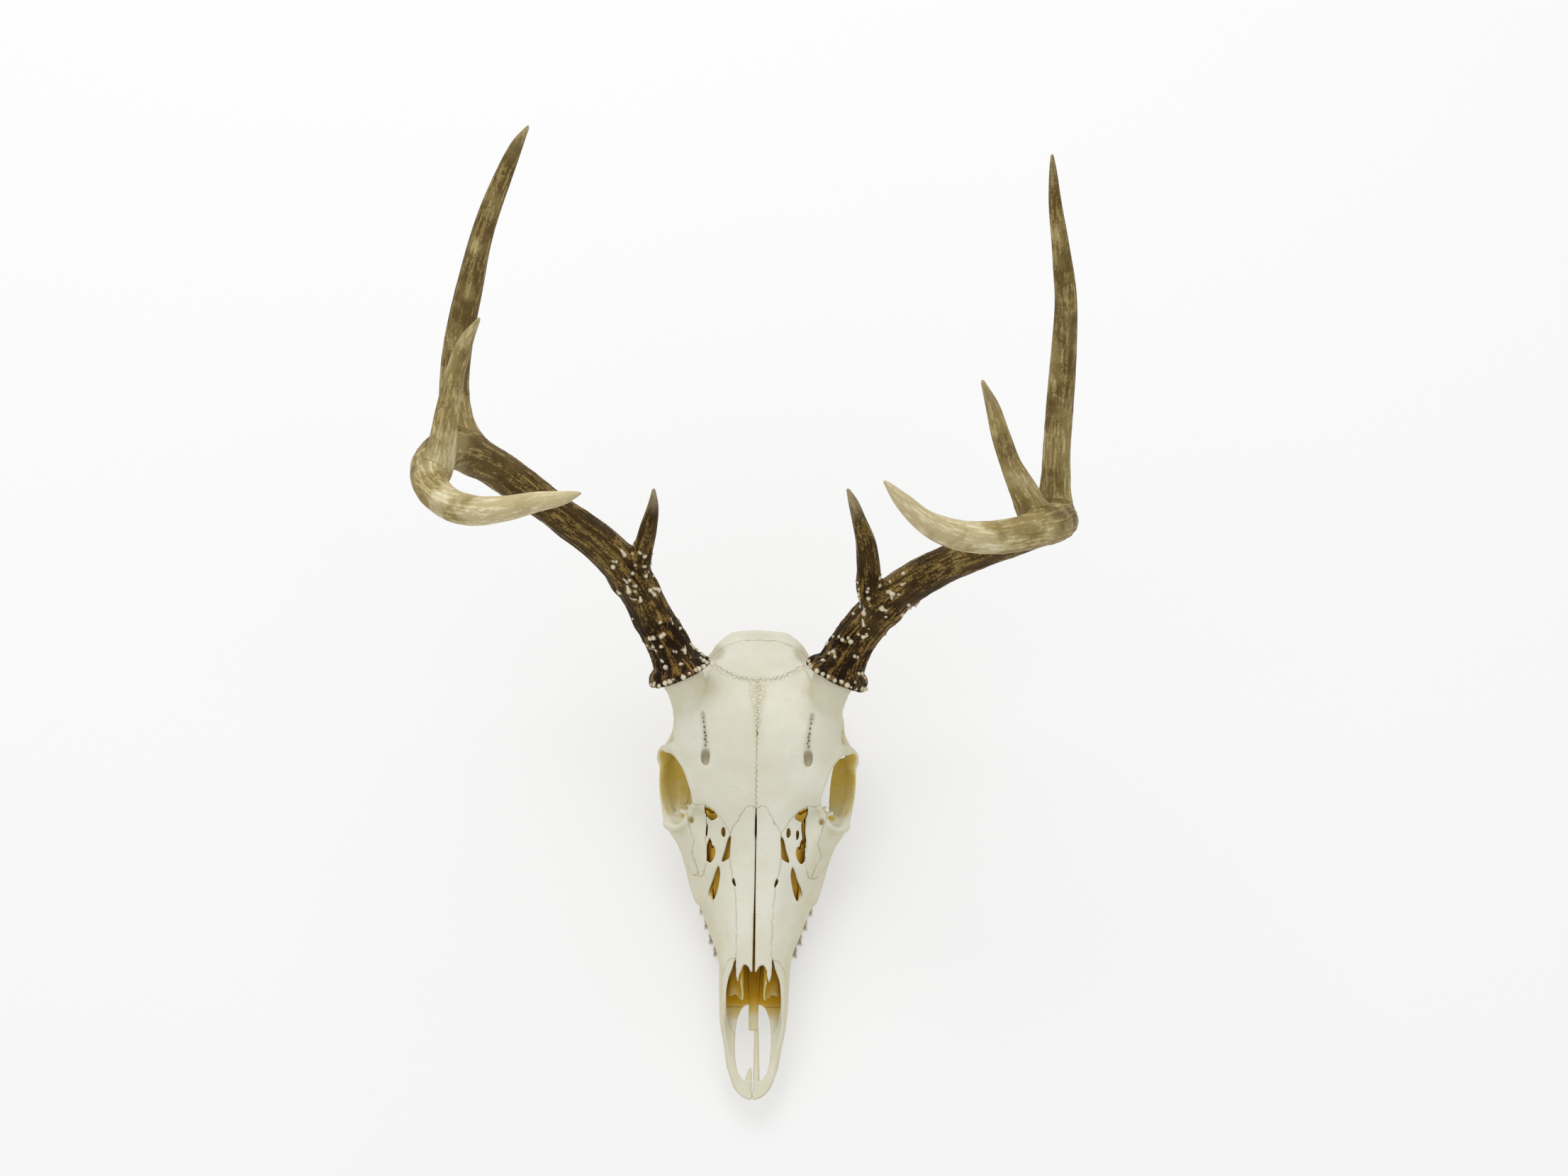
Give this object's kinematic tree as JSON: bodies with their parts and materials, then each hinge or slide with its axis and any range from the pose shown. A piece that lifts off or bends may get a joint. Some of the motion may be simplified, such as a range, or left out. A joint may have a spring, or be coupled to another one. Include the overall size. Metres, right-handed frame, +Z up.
{
  "type": "white-tailed deer skull with antlers",
  "caption": "Bleached deer skull without its lower jaw, with branched antlers, lying on its cheek teeth.",
  "frame": {"origin": "on the surface the skull lies on, under the middle of its overall box", "axes": "+Y from the nose to the nape, +Z up, +X to the animal's left"},
  "size_m": [0.3494, 0.4438, 0.3866],
  "materials": {
    "bone": "bleached dry bone, satin",
    "inner_bone": "amber bone inside the nose, matt",
    "tooth": "worn enamel",
    "antler": "ridged antler, brown at the foot and pale towards the points"
  },
  "bodies": {
    "root": {"braincase": "bone", "frontal_left": "bone", "frontal_right": "bone", "nasal_left": "bone", "nasal_right": "bone", "cheekbone_left": "bone", "cheekbone_right": "bone", "maxilla_left": "bone", "maxilla_right": "bone", "premaxilla_left": "bone", "premaxilla_right": "bone", "vomer": "inner_bone", "antler_left_base": "antler", "antler_left_lower_beam": "antler", "antler_left_upper_beam": "antler", "antler_left_tip": "antler", "antler_left_brow_tine": "antler", "antler_left_second_tine": "antler", "antler_left_third_tine": "antler", "antler_right_base": "antler", "antler_right_lower_beam": "antler", "antler_right_upper_beam": "antler", "antler_right_tip": "antler", "antler_right_brow_tine": "antler", "antler_right_second_tine": "antler", "antler_right_third_tine": "antler"}
  },
  "joints": []
}
